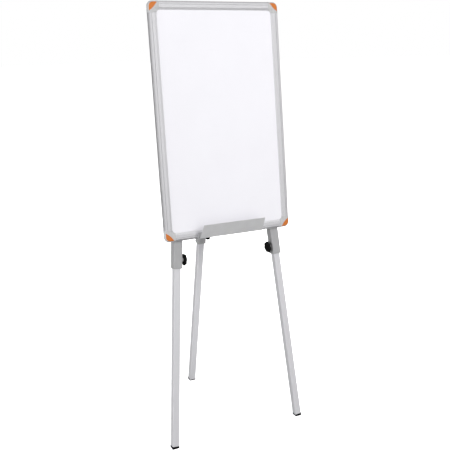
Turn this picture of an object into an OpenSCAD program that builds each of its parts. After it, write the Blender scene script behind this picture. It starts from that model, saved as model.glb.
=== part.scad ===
// Flipchart easel: a framed dry-erase board on three telescopic legs of square tube.
// The board leans back and has axes of its own: x to the right, y backwards from the front of the frame
// and z up the board from its lower edge. Each leg has axes of its own too, with z up along the tube.

/* [Board] */
// Width of the framed board
board_w = 608; // [560:2:760]
// Height of the framed board
board_h = 1000; // [900:10:1100]
// Height of the frame's lower front edge above the floor
board_z = 915; // [840:1:980]
// Lean of the board from upright, in degrees
lean = 8.4; // [6:0.1:11]
// Depth of the writing surface behind the front of the frame
panel_set = 4; // [3.6:0.1:5]
// Thickness of the enamelled steel face
face_t = 0.6; // [0.4:0.1:1]
// Thickness of the board's core
core_t = 10; // [8:0.5:11]
// Thickness of the backing sheet
backing_t = 0.5; // [0.4:0.1:1]
// How far the board's panel reaches into the rails
panel_in = 13; // [10:0.5:14]
// Room left round the panel's edge inside the rails
panel_gap = 0.4; // [0.2:0.1:0.8]

/* [Frame rails] */
// Width of a rail, seen from the front
rail_w = 37; // [35:1:44]
// Depth of a rail
rail_d = 24; // [23:0.5:26]
// Wall of the extruded rail
rail_wall = 1.8; // [1.2:0.1:2.2]
// Width of the bevel along the inner edge
bevel_w = 9.5; // [6:0.5:10]
// How far the bevel falls back at the inner edge
bevel_fall = 3; // [1.5:0.1:3.4]
// Distance of the groove from the inner edge
groove_at = 21; // [19:0.5:23]
// Width of the groove
groove_w = 2.4; // [1:0.1:2.8]
// Depth of the groove
groove_deep = 1.1; // [0.4:0.1:1.1]

/* [Corner caps] */
// Radius of the frame's outer corners
corner_r = 24; // [20:0.5:30]
// Length that a cap covers, from the outer corner along a rail
cap_arm = 49; // [45:1:58]
// How far a cap stands proud of the rails
cap_proud = 0.6; // [0.3:0.1:1]
// Radius of the rounded inner corner of the writing surface
inner_corner_r = 16; // [10:1:24]
// Length of a cap's spigot inside a rail
spigot_len = 26; // [22:1:40]
// Height of a spigot across the depth of the rail
spigot_h = 14; // [10:0.5:15]
// Play of a spigot in its rail
spigot_gap = 0.2; // [0.1:0.05:0.4]
// Distance of the orange insert from the frame's outer edge
insert_in = 5.5; // [4.5:0.1:6.5]
// Length of the insert along each edge past the rounded corner
insert_run = 16.5; // [13:0.5:20]
// Swell of the insert's inner edge
insert_swell = 3.5; // [2:0.5:5]
// Depth of the insert's seat in the cap
insert_deep = 1.6; // [1:0.1:2.4]
// How far the insert stands proud of the cap
insert_proud = 0.4; // [0.2:0.1:0.8]
// Play round the insert
insert_gap = 0.1; // [0.05:0.05:0.2]

/* [Pen tray] */
// Width of the tray along its floor
tray_w = 304; // [250:2:400]
// Width of the tray along the top of its lip
tray_lip_w = 293; // [240:1:390]
// Thickness of the tray's sheet
tray_t = 1.5; // [1:0.1:2]
// Radius of the bends in the tray, at the middle of the sheet
tray_bend_r = 2.5; // [1.5:0.5:4]
// Height of the tray's floor above the lower edge of the frame
tray_up = 2.6; // [1:0.1:5]
// Depth of the tray's floor in front of the frame
tray_floor = 18; // [12:0.5:30]
// Reach of the lip's top edge in front of the frame
tray_reach = 61.5; // [45:0.5:70]
// Height of the lip's top edge above the lower edge of the frame
tray_lip_h = 64; // [50:1:75]
// Height of the tray's flange above the lower edge of the frame
tray_flange_h = 27; // [24:0.5:28]
// Spacing of the tray's screws
tray_screw_step = 110; // [80:1:115]

/* [Outer tubes] */
// Side of the outer tubes
tube_w = 40; // [39:0.5:44]
// Wall of the outer tubes
tube_wall = 1.5; // [1.2:0.1:2.2]
// Corner radius of the outer tubes
tube_round = 4; // [3:0.5:5]
// Distance of a front tube's axis from the board's side, at the board's lower edge
leg_in = 69; // [66:1:95]
// Splay of the front legs, in degrees
splay = 4.95; // [3.5:0.05:6]
// Length of the front tubes below the board's lower edge
tube_drop = 118.5; // [100:0.5:170]
// Distance of the front tubes' upper ends below the top of the board
tube_top_gap = 8; // [6:0.5:8]
// Thickness of the plugs' heads
plug_head = 3; // [2:0.5:5]
// Length of a plug inside its tube
plug_in = 20; // [15:1:30]
// Length of the rear tube below its hinge
rear_len = 958; // [860:1:990]

/* [Inner tubes] */
// Side of the inner tubes
inner_w = 30; // [28:0.5:30]
// Wall of the inner tubes
inner_wall = 1.5; // [1:0.1:2]
// Corner radius of the inner tubes
inner_round = 3; // [2:0.5:4]
// Length of an inner tube that stays inside its outer tube
overlap = 160; // [120:1:200]
// Sliding play between the tubes and their guides
slide_gap = 0.3; // [0.2:0.05:0.5]
// Height of the guide block on top of an inner tube
guide_h = 18; // [10:1:30]
// Length of a plug's spigot inside an inner tube
inner_plug_in = 25; // [15:1:35]
// Play of plugs and bushes in their tubes
plug_gap = 0.1; // [0.05:0.05:0.2]
// Length of a bush inside its outer tube
bush_in = 56; // [50:1:80]
// Height of a bush's collar
collar_h = 4; // [3:0.5:8]
// How far a collar stands out from the outer tube
collar_out = 0.6; // [0.3:0.1:1.5]
// Side of a foot
foot_w = 32; // [31:0.5:36]
// Height of a foot along the tube
foot_h = 7.5; // [6.5:0.5:16]

/* [Rear hinge] */
// Distance of the hinge below the top of the board
hinge_down = 161; // [120:1:200]
// Clearance between the folded rear tube and the frame
fold_gap = 1; // [0.6:0.1:3]
// Angle at which the rear leg stands open from the board, in degrees
open_angle = 17.7; // [14:0.1:20]
// Height of the rear tube's end above the hinge pin, with its plug
hinge_over = 15; // [13:0.5:20]
// Diameter of the hinge pin
pin_d = 10; // [8:0.5:12]
// Diameter of the hinge pin's heads
pin_head_d = 15; // [14:0.5:18]
// Thickness of the hinge pin's heads
pin_head_h = 2.5; // [1.5:0.5:4]
// Thickness of the hinge bracket's sheet
bracket_t = 3; // [2:0.5:4]
// Width of the bracket's cheeks
cheek_w = 28; // [22:1:30]
// Side play of the rear tube between the cheeks
cheek_gap = 0.5; // [0.3:0.1:1]
// Clearance left at the rear leg's stop
stop_gap = 0.2; // [0.1:0.05:0.4]
// Running clearance of turning pins and studs
run_gap = 0.05; // [0.03:0.01:0.08]
// Height of the cross bar
cross_h = 20; // [15:1:30]
// Depth of the cross bar
cross_d = 30; // [28:1:30]
// Wall of the cross bar
cross_wall = 1.5; // [1:0.1:2.5]

/* [Straps] */
// Thickness of the straps' sheet
strap_t = 2; // [1.5:0.1:2.5]
// Radius of the bends in a strap, at the middle of the sheet
strap_bend_r = 2.5; // [1.5:0.5:3]
// Length of a strap along the tube
strap_len = 16; // [12:1:18]
// Width of a strap's flange
strap_flange = 16; // [14:0.5:20]
// Distance of the straps' middle from the rail's inner edge
strap_at = 19; // [18:0.5:20]

/* [Clamps] */
// Height of the clamps above the outer tubes' lower ends
clamp_up = 31; // [25:1:38]
// Diameter of the threaded stud
stud_d = 8; // [6:0.5:8]
// Diameter of the boss
boss_d = 17; // [14:0.5:20]
// Length of the boss
boss_len = 9.5; // [6:0.5:14]
// Diameter of the pressure pad
pad_d = 10; // [8:0.5:11]
// Thickness of the pressure pad
pad_t = 2; // [1.5:0.1:2.5]
// Play round the pressure pad
pad_gap = 0.3; // [0.2:0.05:0.5]
// Clearance between the pad and the inner tube
pad_set = 0.05; // [0.03:0.01:0.1]
// Diameter across the knob's lobes
knob_d = 52; // [46:1:62]
// Thickness of the knob
knob_t = 10; // [9:0.5:16]
// Number of lobes on the knob
knob_lobes = 7; // [5:1:9]
// Radius of a lobe
lobe_r = 7; // [5:0.5:7.5]
// Height of the lobes above the rim between them
lobe_rise = 3.5; // [2:0.5:5]
// Rounding of the knob's rim
knob_round = 2.5; // [1:0.5:3]
// Depth of the ring-shaped hollow in the knob's back
knob_hollow = 4; // [2:0.5:5]
// Diameter of the knob's hub
hub_d = 18; // [15:0.5:20]
// Gap between the tightened knob and its boss
knob_gap = 0.8; // [0.5:0.1:2]
// Depth of the stud inside the knob
stud_in = 6.5; // [5:0.5:7]

/* [Screws] */
// Diameter of the screws' shanks
screw_d = 4; // [3:0.1:4.5]
// Diameter of the screws' heads
screw_head_d = 8; // [7:0.5:9]
// Height of the screws' heads
screw_head_h = 2.4; // [1.5:0.1:3]
// Length of the screws under the head
screw_len = 14; // [10:0.5:16]
// Clearance of screws in their holes
screw_gap = 0.1; // [0.05:0.05:0.3]
// Distance of a corner screw from the end of its rail
corner_screw_at = 13; // [10:1:18]

/* [Hidden] */
$fn = 64;
SIDES = [-1, 1];
panel_t = face_t + core_t + backing_t;
nose_r = rail_d / 2;
nose_at = rail_w - nose_r;
slot_deep = panel_in + panel_gap;
chamber_at = slot_deep + rail_wall;
arm_len = cap_arm - corner_r;
inner_edge = corner_r - rail_w;
spigot_end = nose_at + nose_r / 3;
rail_screw_at = (chamber_at + spigot_end) / 2;
// Past every surface that a cut has to clear
cut = 5;
// Steps in a sheet's bend
bend_steps = 6;

leg_x = board_w / 2 - leg_in;
leg_d = rail_d + tube_w / 2;
hinge_up = board_h - hinge_down;
tube_bore = tube_w - 2 * tube_wall;
tube_bore_round = tube_round - tube_wall;
tube_up = (board_h - tube_top_gap) / cos(splay);
inner_bore = inner_w - 2 * inner_wall;
inner_bore_round = inner_round - inner_wall;
hinge_d = rail_d + fold_gap + tube_w / 2;
stop_h = hinge_over * cos(open_angle) + tube_w / 2 * sin(open_angle) + stop_gap;
cross_up = hinge_up + stop_h + bracket_t;
rear_lean = open_angle - lean;
hinge_z = board_z + hinge_up * cos(lean) - hinge_d * sin(lean);
pad_from = inner_w / 2 + pad_set;
stud_from = pad_from + pad_t;
knob_from = tube_w / 2 + boss_len + knob_gap;
pad_hole_d = pad_d + 2 * pad_gap;
lobe_at = knob_d / 2 - lobe_r;
tray_screw_up = rail_w - rail_screw_at;

// The floor's middle lies half way between the front edge of the front feet and the back edge of the rear foot
front_foot_y = (leg_d - foot_w / 2) / cos(lean) - board_z * tan(lean);
hinge_y = hinge_up * sin(lean) + hinge_d * cos(lean);
rear_foot_y = hinge_y + hinge_z * tan(rear_lean) + foot_w / 2 / cos(rear_lean);
board_y = -(front_foot_y + rear_foot_y) / 2;

// Lower end of a leg's outer tube, and the floor, along the leg's own axis
function tube_end(leg) = leg == "rear" ? -rear_len : -tube_drop;
function tube_top(leg) = leg == "rear" ? hinge_over - plug_head : tube_up;
function floor_end(leg) =
  leg == "rear" ? -hinge_z / cos(rear_lean) : -(board_z - leg_d * sin(lean)) / (cos(splay) * cos(lean));
function inner_from(leg) = floor_end(leg) + foot_h;
function inner_to(leg) = tube_end(leg) + overlap;
// The clamps of the front legs face each other
function clamp_side(leg) = leg == "right" ? -1 : 1;
function strap_up(top) = top ? board_h - rail_w + strap_at : rail_w - strap_at;
// Half width between the front tubes at a height on the board
function between_tubes(up) = leg_x - up * tan(splay) - tube_w / 2 / cos(splay);

// Middle line of a bent sheet: each inner point becomes an arc of radius r
function unit(v) = v / norm(v);
function turned(v, a) = [v[0] * cos(a) - v[1] * sin(a), v[0] * sin(a) + v[1] * cos(a)];
function bend(a, b, c, r) =
  let (
    u = unit(a - b), v = unit(c - b), half = acos(u * v) / 2,
    middle = b + unit(u + v) * r / sin(half),
    from = b + u * r / tan(half) - middle, to = b + v * r / tan(half) - middle,
    sweep = (180 - 2 * half) * sign(cross(from, to))
  )
  [for (i = [0 : bend_steps]) middle + turned(from, sweep * i / bend_steps)];
function bent_path(path, r) =
  let (last = len(path) - 1)
  concat(
    [path[0]],
    [for (i = [1 : last - 1]) each bend(path[i - 1], path[i], path[i + 1], r)],
    [path[last]]
  );

// One side of the sheet, at a distance to the left of its middle line
function left_of(a, b) = [a[1] - b[1], b[0] - a[0]] / norm(b - a);
function mitre(a, b, c, h) =
  let (n = left_of(a, b), m = left_of(b, c)) b + h * (n + m) / (1 + n * m);
function sheet_side(path, h) =
  let (last = len(path) - 1)
  [for (i = [0 : last])
    i == 0 ? path[0] + h * left_of(path[0], path[1])
    : i == last ? path[last] + h * left_of(path[last - 1], path[last])
    : mitre(path[i - 1], path[i], path[i + 1], h)];
function backwards(list) = [for (i = [len(list) - 1 : -1 : 0]) list[i]];

module sheet_outline(path, r, t) {
  middle = bent_path(path, r);
  polygon(concat(sheet_side(middle, t / 2), backwards(sheet_side(middle, -t / 2))));
}

// Places
module at_board() {
  translate([0, board_y, board_z]) rotate([-lean, 0, 0]) children();
}

module at_leg(leg) {
  side = leg == "left" ? -1 : 1;
  if (leg == "rear") {
    at_board() translate([0, hinge_d, hinge_up]) rotate([open_angle, 0, 0]) children();
  } else {
    at_board() translate([side * leg_x, leg_d, 0]) rotate([0, -side * splay, 0]) children();
  }
}

// Outwards along the clamp's screw, from the tube's axis
module at_clamp(leg) {
  at_leg(leg) translate([0, 0, tube_end(leg) + clamp_up]) rotate([0, 90 * clamp_side(leg), 0]) children();
}

// One edge of the board: z runs outwards from the rail's inner edge
module at_edge(turn, half) {
  at_board() translate([0, 0, board_h / 2]) rotate([0, turn, 0]) translate([0, 0, half - rail_w]) children();
}

// One corner of the board, from the centre of its outer radius
module at_corner(side, level) {
  at_board() translate([0, 0, board_h / 2])
    mirror([side < 0 ? 1 : 0, 0, 0]) mirror([0, 0, level < 0 ? 1 : 0])
      translate([board_w / 2 - corner_r, 0, board_h / 2 - corner_r]) children();
}

// A front view turned into a plate between two depths
module front_plate(from, to) {
  rotate([90, 0, 0]) translate([0, 0, -to]) linear_extrude(to - from) children();
}

module soft_square(side, round) {
  flat = side - 2 * round;
  square([side, flat], center = true);
  square([flat, side], center = true);
  for (x = SIDES, y = SIDES) translate([x * flat / 2, y * flat / 2]) circle(round);
}

// Screw with its head's seat at zero, pointing down
module screw() {
  rotate_extrude() polygon([
    [0, -screw_len], [screw_d / 2, -screw_len], [screw_d / 2, 0], [screw_head_d / 2, 0],
    [screw_head_d / 2, screw_head_h / 2], [screw_head_d / 3, screw_head_h], [0, screw_head_h]
  ]);
}

module screw_hole() {
  translate([0, 0, -screw_len - cut]) cylinder(d = screw_d + 2 * screw_gap, h = screw_len + 2 * cut);
}

module each_tray_screw() {
  for (k = [-1 : 1]) {
    at_board() translate([k * tray_screw_step, -tray_t, tray_screw_up]) rotate([90, 0, 0]) children();
  }
}

module each_strap_screw() {
  for (leg = ["left", "right"], top = [true, false], k = SIDES) {
    at_leg(leg)
      translate([
        k * (tube_w / 2 + strap_t + strap_flange / 2), strap_t - tube_w / 2, strap_up(top) / cos(splay)
      ]) rotate([-90, 0, 0]) children();
  }
}

module each_corner_screw() {
  for (side = SIDES, level = SIDES) {
    at_corner(side, level)
      translate([rail_screw_at + inner_edge, rail_d, -arm_len - corner_screw_at]) rotate([-90, 0, 0]) children();
  }
}

// Frame: section of the rails, from the inner edge outwards and from the front backwards
module nose(at, proud) {
  room = cut + max(proud, 0);
  back = proud > 0 ? rail_d : rail_d + cut;
  intersection() {
    translate([at, nose_r]) circle(nose_r + proud);
    translate([at, -room]) square([nose_r + room, back + room]);
  }
}

module rail_outline(proud) {
  polygon([[0, bevel_fall - proud], [bevel_w, -proud], [nose_at, -proud], [nose_at, rail_d], [0, rail_d]]);
  nose(nose_at, proud);
}

module rail_section() {
  behind = panel_set + panel_t + rail_wall;
  difference() {
    rail_outline(0);
    translate([-cut, panel_set]) square([slot_deep + cut, panel_t]);
    translate([chamber_at, rail_wall]) square([nose_at - chamber_at, rail_d - 2 * rail_wall]);
    nose(nose_at, -rail_wall);
    translate([rail_wall, behind]) square([chamber_at - 2 * rail_wall, rail_d - rail_wall - behind]);
    translate([groove_at, -cut]) square([groove_w, groove_deep + cut]);
  }
}

module rail(turn, half, length) {
  color("gainsboro") difference() {
    at_edge(turn, half) rotate([0, -90, 0]) linear_extrude(length, center = true) rail_section();
    each_tray_screw() screw_hole();
    each_strap_screw() screw_hole();
    each_corner_screw() screw_hole();
  }
}

module rail_across(turn) {
  rail(turn, board_h / 2, board_w - 2 * cap_arm);
}

module rail_upright(turn) {
  rail(turn, board_w / 2, board_h - 2 * cap_arm);
}

// Board panel
module panel_layer(from, thickness) {
  at_board() translate([rail_w - panel_in - board_w / 2, from, rail_w - panel_in])
    cube([board_w - 2 * (rail_w - panel_in), thickness, board_h - 2 * (rail_w - panel_in)]);
}

module board_face() {
  color("white") panel_layer(panel_set, face_t);
}

module board_core() {
  color("burlywood") panel_layer(panel_set + face_t, core_t);
}

module board_backing() {
  color("lightgray") panel_layer(panel_set + face_t + core_t, backing_t);
}

// Corner caps: section of the rounded corner, from the centre of its radius outwards
module corner_section(proud) {
  translate([0, -proud]) square([corner_r - nose_r, rail_d + proud]);
  nose(corner_r - nose_r, proud);
}

module round_corner() {
  rotate([90, 0, 0]) rotate_extrude(angle = 90) mirror([0, 1]) children();
}

module along_edge(length) {
  rotate([0, -90, 0]) linear_extrude(length) children();
}

module down_edge(length) {
  translate([0, 0, -length]) linear_extrude(length) children();
}

module spigot_section() {
  translate([chamber_at + spigot_gap, nose_r - spigot_h / 2])
    square([spigot_end - chamber_at - spigot_gap, spigot_h]);
}

module cap_solid() {
  round_corner() corner_section(cap_proud);
  translate([0, 0, inner_edge]) along_edge(arm_len) rail_outline(cap_proud);
  translate([inner_edge, 0, 0]) down_edge(arm_len) rail_outline(cap_proud);
  translate([0, 0, inner_edge]) along_edge(arm_len + spigot_len) spigot_section();
  translate([inner_edge, 0, 0]) down_edge(arm_len + spigot_len) spigot_section();
  translate([inner_edge, 0, inner_edge]) front_plate(bevel_fall - cap_proud, panel_set) difference() {
    translate([-inner_corner_r, -inner_corner_r]) square(inner_corner_r);
    translate([-inner_corner_r, -inner_corner_r]) circle(inner_corner_r);
  }
}

// Leaf-shaped skin over the rounded corner, between two offsets from the rails' surface
module leaf_section(deep, proud, play) {
  difference() {
    intersection() {
      corner_section(proud);
      translate([0, -proud - cut]) square([corner_r - insert_in + play, nose_r + proud + cut]);
    }
    corner_section(-deep);
  }
}

module leaf(deep, proud, play) {
  run = insert_run + play;
  tip = corner_r - insert_in;
  // The inner edge is an arc through the two tips, which lie along the outer edges
  half_chord = (tip + insert_run) / sqrt(2);
  swell_r = (half_chord * half_chord + insert_swell * insert_swell) / (2 * insert_swell);
  middle = (tip - insert_run) / 2 + (swell_r - insert_swell) / sqrt(2);
  intersection() {
    union() {
      round_corner() leaf_section(deep, proud, play);
      along_edge(run) leaf_section(deep, proud, play);
      down_edge(run) leaf_section(deep, proud, play);
      front_plate(-proud, deep) translate([-run, -run]) square(run);
    }
    translate([middle, -rail_d, middle]) rotate([-90, 0, 0]) cylinder(r = swell_r + play, h = 2 * rail_d);
  }
}

module corner_cap(side, level) {
  cap_reach = arm_len + spigot_len + cut;
  slot_from_reach = cap_reach + inner_edge + slot_deep;
  color("darkgray") difference() {
    at_corner(side, level) difference() {
      cap_solid();
      translate([-cap_reach, panel_set, -cap_reach]) cube([slot_from_reach, panel_t, slot_from_reach]);
      leaf(insert_deep + insert_gap, cap_proud + cut, insert_gap);
    }
    each_corner_screw() screw_hole();
    each_strap_screw() screw_hole();
  }
}

module corner_insert(side, level) {
  color("darkorange") at_corner(side, level) leaf(insert_deep, cap_proud + insert_proud, 0);
}

module corner_screws() {
  color("silver") each_corner_screw() screw();
}

// Pen tray: forwards from the frame and up the board
module tray_section() {
  half = tray_t / 2;
  sheet_outline([
    [half, tray_flange_h], [half, tray_up + half], [tray_floor, tray_up + half], [tray_reach, tray_lip_h]
  ], tray_bend_r, tray_t);
}

module pen_tray() {
  color("silver") difference() {
    at_board() intersection() {
      rotate([90, 0, -90]) linear_extrude(tray_w, center = true) tray_section();
      front_plate(-tray_reach - cut, cut) polygon([
        [-tray_w / 2, 0], [tray_w / 2, 0], [tray_w / 2, tray_up],
        [tray_lip_w / 2, tray_lip_h + tray_t], [-tray_lip_w / 2, tray_lip_h + tray_t], [-tray_w / 2, tray_up]
      ]);
    }
    each_tray_screw() screw_hole();
  }
}

module tray_screws() {
  color("silver") each_tray_screw() screw();
}

// Outer tubes and what is fixed to them
module outer_tube(leg) {
  from = tube_end(leg);
  color("darkgray") difference() {
    at_leg(leg) translate([0, 0, from]) linear_extrude(tube_top(leg) - from) difference() {
      soft_square(tube_w, tube_round);
      soft_square(tube_bore, tube_bore_round);
    }
    at_clamp(leg) cylinder(d = pad_hole_d, h = tube_w);
    if (leg == "rear") hinge_bore();
  }
}

module tube_plug(leg) {
  color("dimgray") difference() {
    at_leg(leg) translate([0, 0, tube_top(leg)]) {
      linear_extrude(plug_head) soft_square(tube_w, tube_round);
      translate([0, 0, -plug_in]) linear_extrude(plug_in)
        soft_square(tube_bore - 2 * plug_gap, tube_bore_round);
    }
    if (leg == "rear") hinge_bore();
  }
}

module bush(leg) {
  collar = tube_w + 2 * collar_out;
  color("darkgray") difference() {
    at_leg(leg) translate([0, 0, tube_end(leg)]) difference() {
      union() {
        translate([0, 0, -collar_h]) linear_extrude(collar_h) soft_square(collar, tube_round);
        linear_extrude(bush_in) soft_square(tube_bore - 2 * plug_gap, tube_bore_round);
      }
      translate([0, 0, -collar_h - cut]) linear_extrude(collar_h + bush_in + 2 * cut)
        soft_square(inner_w + 2 * slide_gap, inner_round);
    }
    at_clamp(leg) cylinder(d = pad_hole_d, h = tube_w);
  }
}

module boss(leg) {
  color("darkgray") at_clamp(leg) translate([0, 0, tube_w / 2]) difference() {
    cylinder(d = boss_d, h = boss_len);
    translate([0, 0, -cut]) cylinder(d = stud_d + 2 * run_gap, h = boss_len + 2 * cut);
  }
}

module strap(leg, top) {
  wall = (tube_w + strap_t) / 2;
  seat = strap_t / 2 - tube_w / 2;
  reach = tube_w / 2 + strap_t + strap_flange;
  color("silver") difference() {
    at_leg(leg) translate([0, 0, strap_up(top) / cos(splay)])
      linear_extrude(strap_len, center = true) sheet_outline([
        [-reach, seat], [-wall, seat], [-wall, wall], [wall, wall], [wall, seat], [reach, seat]
      ], strap_bend_r, strap_t);
    each_strap_screw() screw_hole();
  }
}

module strap_screws() {
  color("silver") each_strap_screw() screw();
}

// Rear hinge
module across_hinge(length) {
  at_board() translate([0, hinge_d, hinge_up]) rotate([0, 90, 0]) translate([0, 0, -length / 2]) children();
}

module hinge_bore() {
  across_hinge(2 * tube_w) cylinder(d = pin_d + 2 * run_gap, h = 2 * tube_w);
}

module cross_bar() {
  low = cross_up;
  high = cross_up + cross_h;
  color("darkgray") at_board() difference() {
    front_plate(leg_d - cross_d / 2, leg_d + cross_d / 2) polygon([
      [-between_tubes(low), low], [between_tubes(low), low],
      [between_tubes(high), high], [-between_tubes(high), high]
    ]);
    translate([-leg_x, leg_d - cross_d / 2 + cross_wall, low + cross_wall])
      cube([2 * leg_x, cross_d - 2 * cross_wall, cross_h - 2 * cross_wall]);
  }
}

module hinge_bracket() {
  half = tube_w / 2 + cheek_gap;
  color("silver") difference() {
    at_board() translate([0, hinge_d, hinge_up]) {
      translate([-half - bracket_t, -cheek_w / 2, stop_h])
        cube([2 * (half + bracket_t), cheek_w, bracket_t]);
      for (x = [-half - bracket_t, half]) translate([x, 0, 0]) rotate([90, 0, 90]) linear_extrude(bracket_t) {
        circle(d = cheek_w);
        translate([-cheek_w / 2, 0]) square([cheek_w, stop_h + bracket_t]);
      }
    }
    hinge_bore();
  }
}

module hinge_pin() {
  span = tube_w + 2 * (cheek_gap + bracket_t);
  color("silver") {
    across_hinge(span) cylinder(d = pin_d, h = span);
    for (k = SIDES) {
      across_hinge(pin_head_h) translate([0, 0, k * (span + pin_head_h) / 2])
        cylinder(d = pin_head_d, h = pin_head_h);
    }
  }
}

// Inner tubes
module inner_tube(leg) {
  from = inner_from(leg);
  color("gainsboro") at_leg(leg) translate([0, 0, from]) linear_extrude(inner_to(leg) - from) difference() {
    soft_square(inner_w, inner_round);
    soft_square(inner_bore, inner_bore_round);
  }
}

module guide_block(leg) {
  color("dimgray") at_leg(leg) translate([0, 0, inner_to(leg)]) {
    linear_extrude(guide_h) soft_square(tube_bore - 2 * slide_gap, tube_bore_round);
    translate([0, 0, -inner_plug_in]) linear_extrude(inner_plug_in)
      soft_square(inner_bore - 2 * plug_gap, inner_bore_round);
  }
}

// A foot's sole is cut level with the floor
module foot(leg) {
  color("black") difference() {
    at_leg(leg) translate([0, 0, inner_from(leg)]) {
      translate([0, 0, -foot_h - foot_w]) linear_extrude(foot_h + foot_w) soft_square(foot_w, inner_round);
      linear_extrude(inner_plug_in) soft_square(inner_bore - 2 * plug_gap, inner_bore_round);
    }
    translate([-board_w, -board_h, -board_w]) cube([2 * board_w, 2 * board_h, board_w]);
  }
}

// Clamps
module clamp_pad(leg) {
  color("goldenrod") at_clamp(leg) translate([0, 0, pad_from]) cylinder(d = pad_d, h = pad_t);
}

module clamp_stud(leg) {
  color("silver") at_clamp(leg) translate([0, 0, stud_from])
    cylinder(d = stud_d, h = knob_from + stud_in - stud_from);
}

module star_outline() {
  circle(knob_d / 2 - lobe_rise);
  for (i = [0 : knob_lobes - 1]) rotate(i * 360 / knob_lobes) translate([lobe_at, 0]) circle(lobe_r);
}

// Rim of the knob, rounded front and back
module knob_turning() {
  flat = knob_d / 2 - knob_round;
  rotate_extrude() {
    square([flat, knob_t]);
    translate([0, knob_round]) square([knob_d / 2, knob_t - 2 * knob_round]);
    for (y = [knob_round, knob_t - knob_round]) translate([flat, y]) circle(knob_round);
  }
}

module clamp_knob(leg) {
  color("black") at_clamp(leg) translate([0, 0, knob_from]) difference() {
    intersection() {
      linear_extrude(knob_t) star_outline();
      knob_turning();
    }
    translate([0, 0, -cut]) cylinder(d = stud_d, h = stud_in + cut);
    translate([0, 0, -cut]) difference() {
      cylinder(r = lobe_at - lobe_r / 2, h = knob_hollow + cut);
      cylinder(d = hub_d, h = knob_hollow + cut);
    }
  }
}

board_face();
board_core();
board_backing();
rail_across(0);  // rail_top
rail_across(180);  // rail_bottom
rail_upright(-90);  // rail_left
rail_upright(90);  // rail_right
corner_cap(-1, 1);  // corner_top_left
corner_cap(1, 1);  // corner_top_right
corner_cap(-1, -1);  // corner_bottom_left
corner_cap(1, -1);  // corner_bottom_right
corner_insert(-1, 1);  // insert_top_left
corner_insert(1, 1);  // insert_top_right
corner_insert(-1, -1);  // insert_bottom_left
corner_insert(1, -1);  // insert_bottom_right
corner_screws();
pen_tray();
tray_screws();
outer_tube("left");  // front_tube_left
outer_tube("right");  // front_tube_right
tube_plug("left");  // tube_plug_left
tube_plug("right");  // tube_plug_right
strap("left", true);  // strap_top_left
strap("right", true);  // strap_top_right
strap("left", false);  // strap_bottom_left
strap("right", false);  // strap_bottom_right
strap_screws();
bush("left");  // bush_left
bush("right");  // bush_right
boss("left");  // boss_left
boss("right");  // boss_right
cross_bar();
hinge_bracket();
hinge_pin();
outer_tube("rear");  // rear_tube
tube_plug("rear");  // rear_plug
bush("rear");  // bush_rear
boss("rear");  // boss_rear
inner_tube("left");  // inner_tube_left
inner_tube("right");  // inner_tube_right
inner_tube("rear");  // inner_tube_rear
guide_block("left");  // guide_block_left
guide_block("right");  // guide_block_right
guide_block("rear");  // guide_block_rear
foot("left");  // foot_left
foot("right");  // foot_right
foot("rear");  // foot_rear
clamp_pad("left");  // clamp_pad_left
clamp_pad("right");  // clamp_pad_right
clamp_pad("rear");  // clamp_pad_rear
clamp_stud("left");  // clamp_stud_left
clamp_stud("right");  // clamp_stud_right
clamp_stud("rear");  // clamp_stud_rear
clamp_knob("left");  // clamp_knob_left
clamp_knob("right");  // clamp_knob_right
clamp_knob("rear");  // clamp_knob_rear
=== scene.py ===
"""Looks of a flipchart easel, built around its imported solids.

The solids keep their shapes and get their finishes here. Knobs, studs and screws are modelled again in
full, and weld beads are added. Lengths are in metres, and angles are in degrees where no comment or
docstring says radians.
"""

import logging
from abc import ABC, abstractmethod
from collections.abc import Callable, Iterable
from dataclasses import dataclass
from enum import Enum
from math import atan2, cos, radians, sin, tau

import bmesh
import bpy
from bmesh.types import BMEdge, BMesh, BMVert
from bpy.types import ID, Material, NodeSocket, NodeTree, Object, ShaderNode
from mathutils import Matrix, Vector

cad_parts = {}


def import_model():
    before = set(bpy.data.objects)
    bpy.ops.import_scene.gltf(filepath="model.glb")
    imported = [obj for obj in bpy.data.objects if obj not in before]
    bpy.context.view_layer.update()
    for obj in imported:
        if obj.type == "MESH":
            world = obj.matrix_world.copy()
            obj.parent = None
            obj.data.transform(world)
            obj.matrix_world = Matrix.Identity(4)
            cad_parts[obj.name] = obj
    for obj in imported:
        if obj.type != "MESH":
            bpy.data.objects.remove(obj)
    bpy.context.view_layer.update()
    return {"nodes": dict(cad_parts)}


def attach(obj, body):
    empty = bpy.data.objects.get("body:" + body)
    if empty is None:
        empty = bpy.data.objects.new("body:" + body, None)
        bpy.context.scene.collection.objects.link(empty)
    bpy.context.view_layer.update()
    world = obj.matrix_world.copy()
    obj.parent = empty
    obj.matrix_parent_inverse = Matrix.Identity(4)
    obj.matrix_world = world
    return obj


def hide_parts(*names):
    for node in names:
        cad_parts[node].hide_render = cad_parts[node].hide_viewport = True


LOG = logging.getLogger("easel")

Colour = tuple[float, float, float]
Size = tuple[float, float, float]
Spot = tuple[float, float, float]
Axis = tuple[float, float, float]
Span = tuple[float, float]
Point = tuple[float, float]
Profile = list[Point]
Stop = tuple[float, Colour]
Solids = dict[str, Object]

RIGHT_ANGLE = 90.0
LOWER_QUARTER = (-RIGHT_ANGLE, 0.0)
UPPER_QUARTER = (0.0, RIGHT_ANGLE)
ORIGIN = (0.0, 0.0, 0.0)
UPWARDS = (0.0, 0.0, 1.0)
MATRIX_SIZE = 4

# Points that lie closer together than this become one point
MERGE = 1e-6

# Edges at which the surface turns by more than this, in radians, look sharp
SHARP = radians(35)

BOARD = "board"
LEVELS = ("top", "bottom")
SIDES = ("left", "right")


# Places


def turn(angle: float, axis: str) -> Matrix:
    """A turn about the axis with this letter."""
    return Matrix.Rotation(radians(angle), MATRIX_SIZE, axis)


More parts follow.
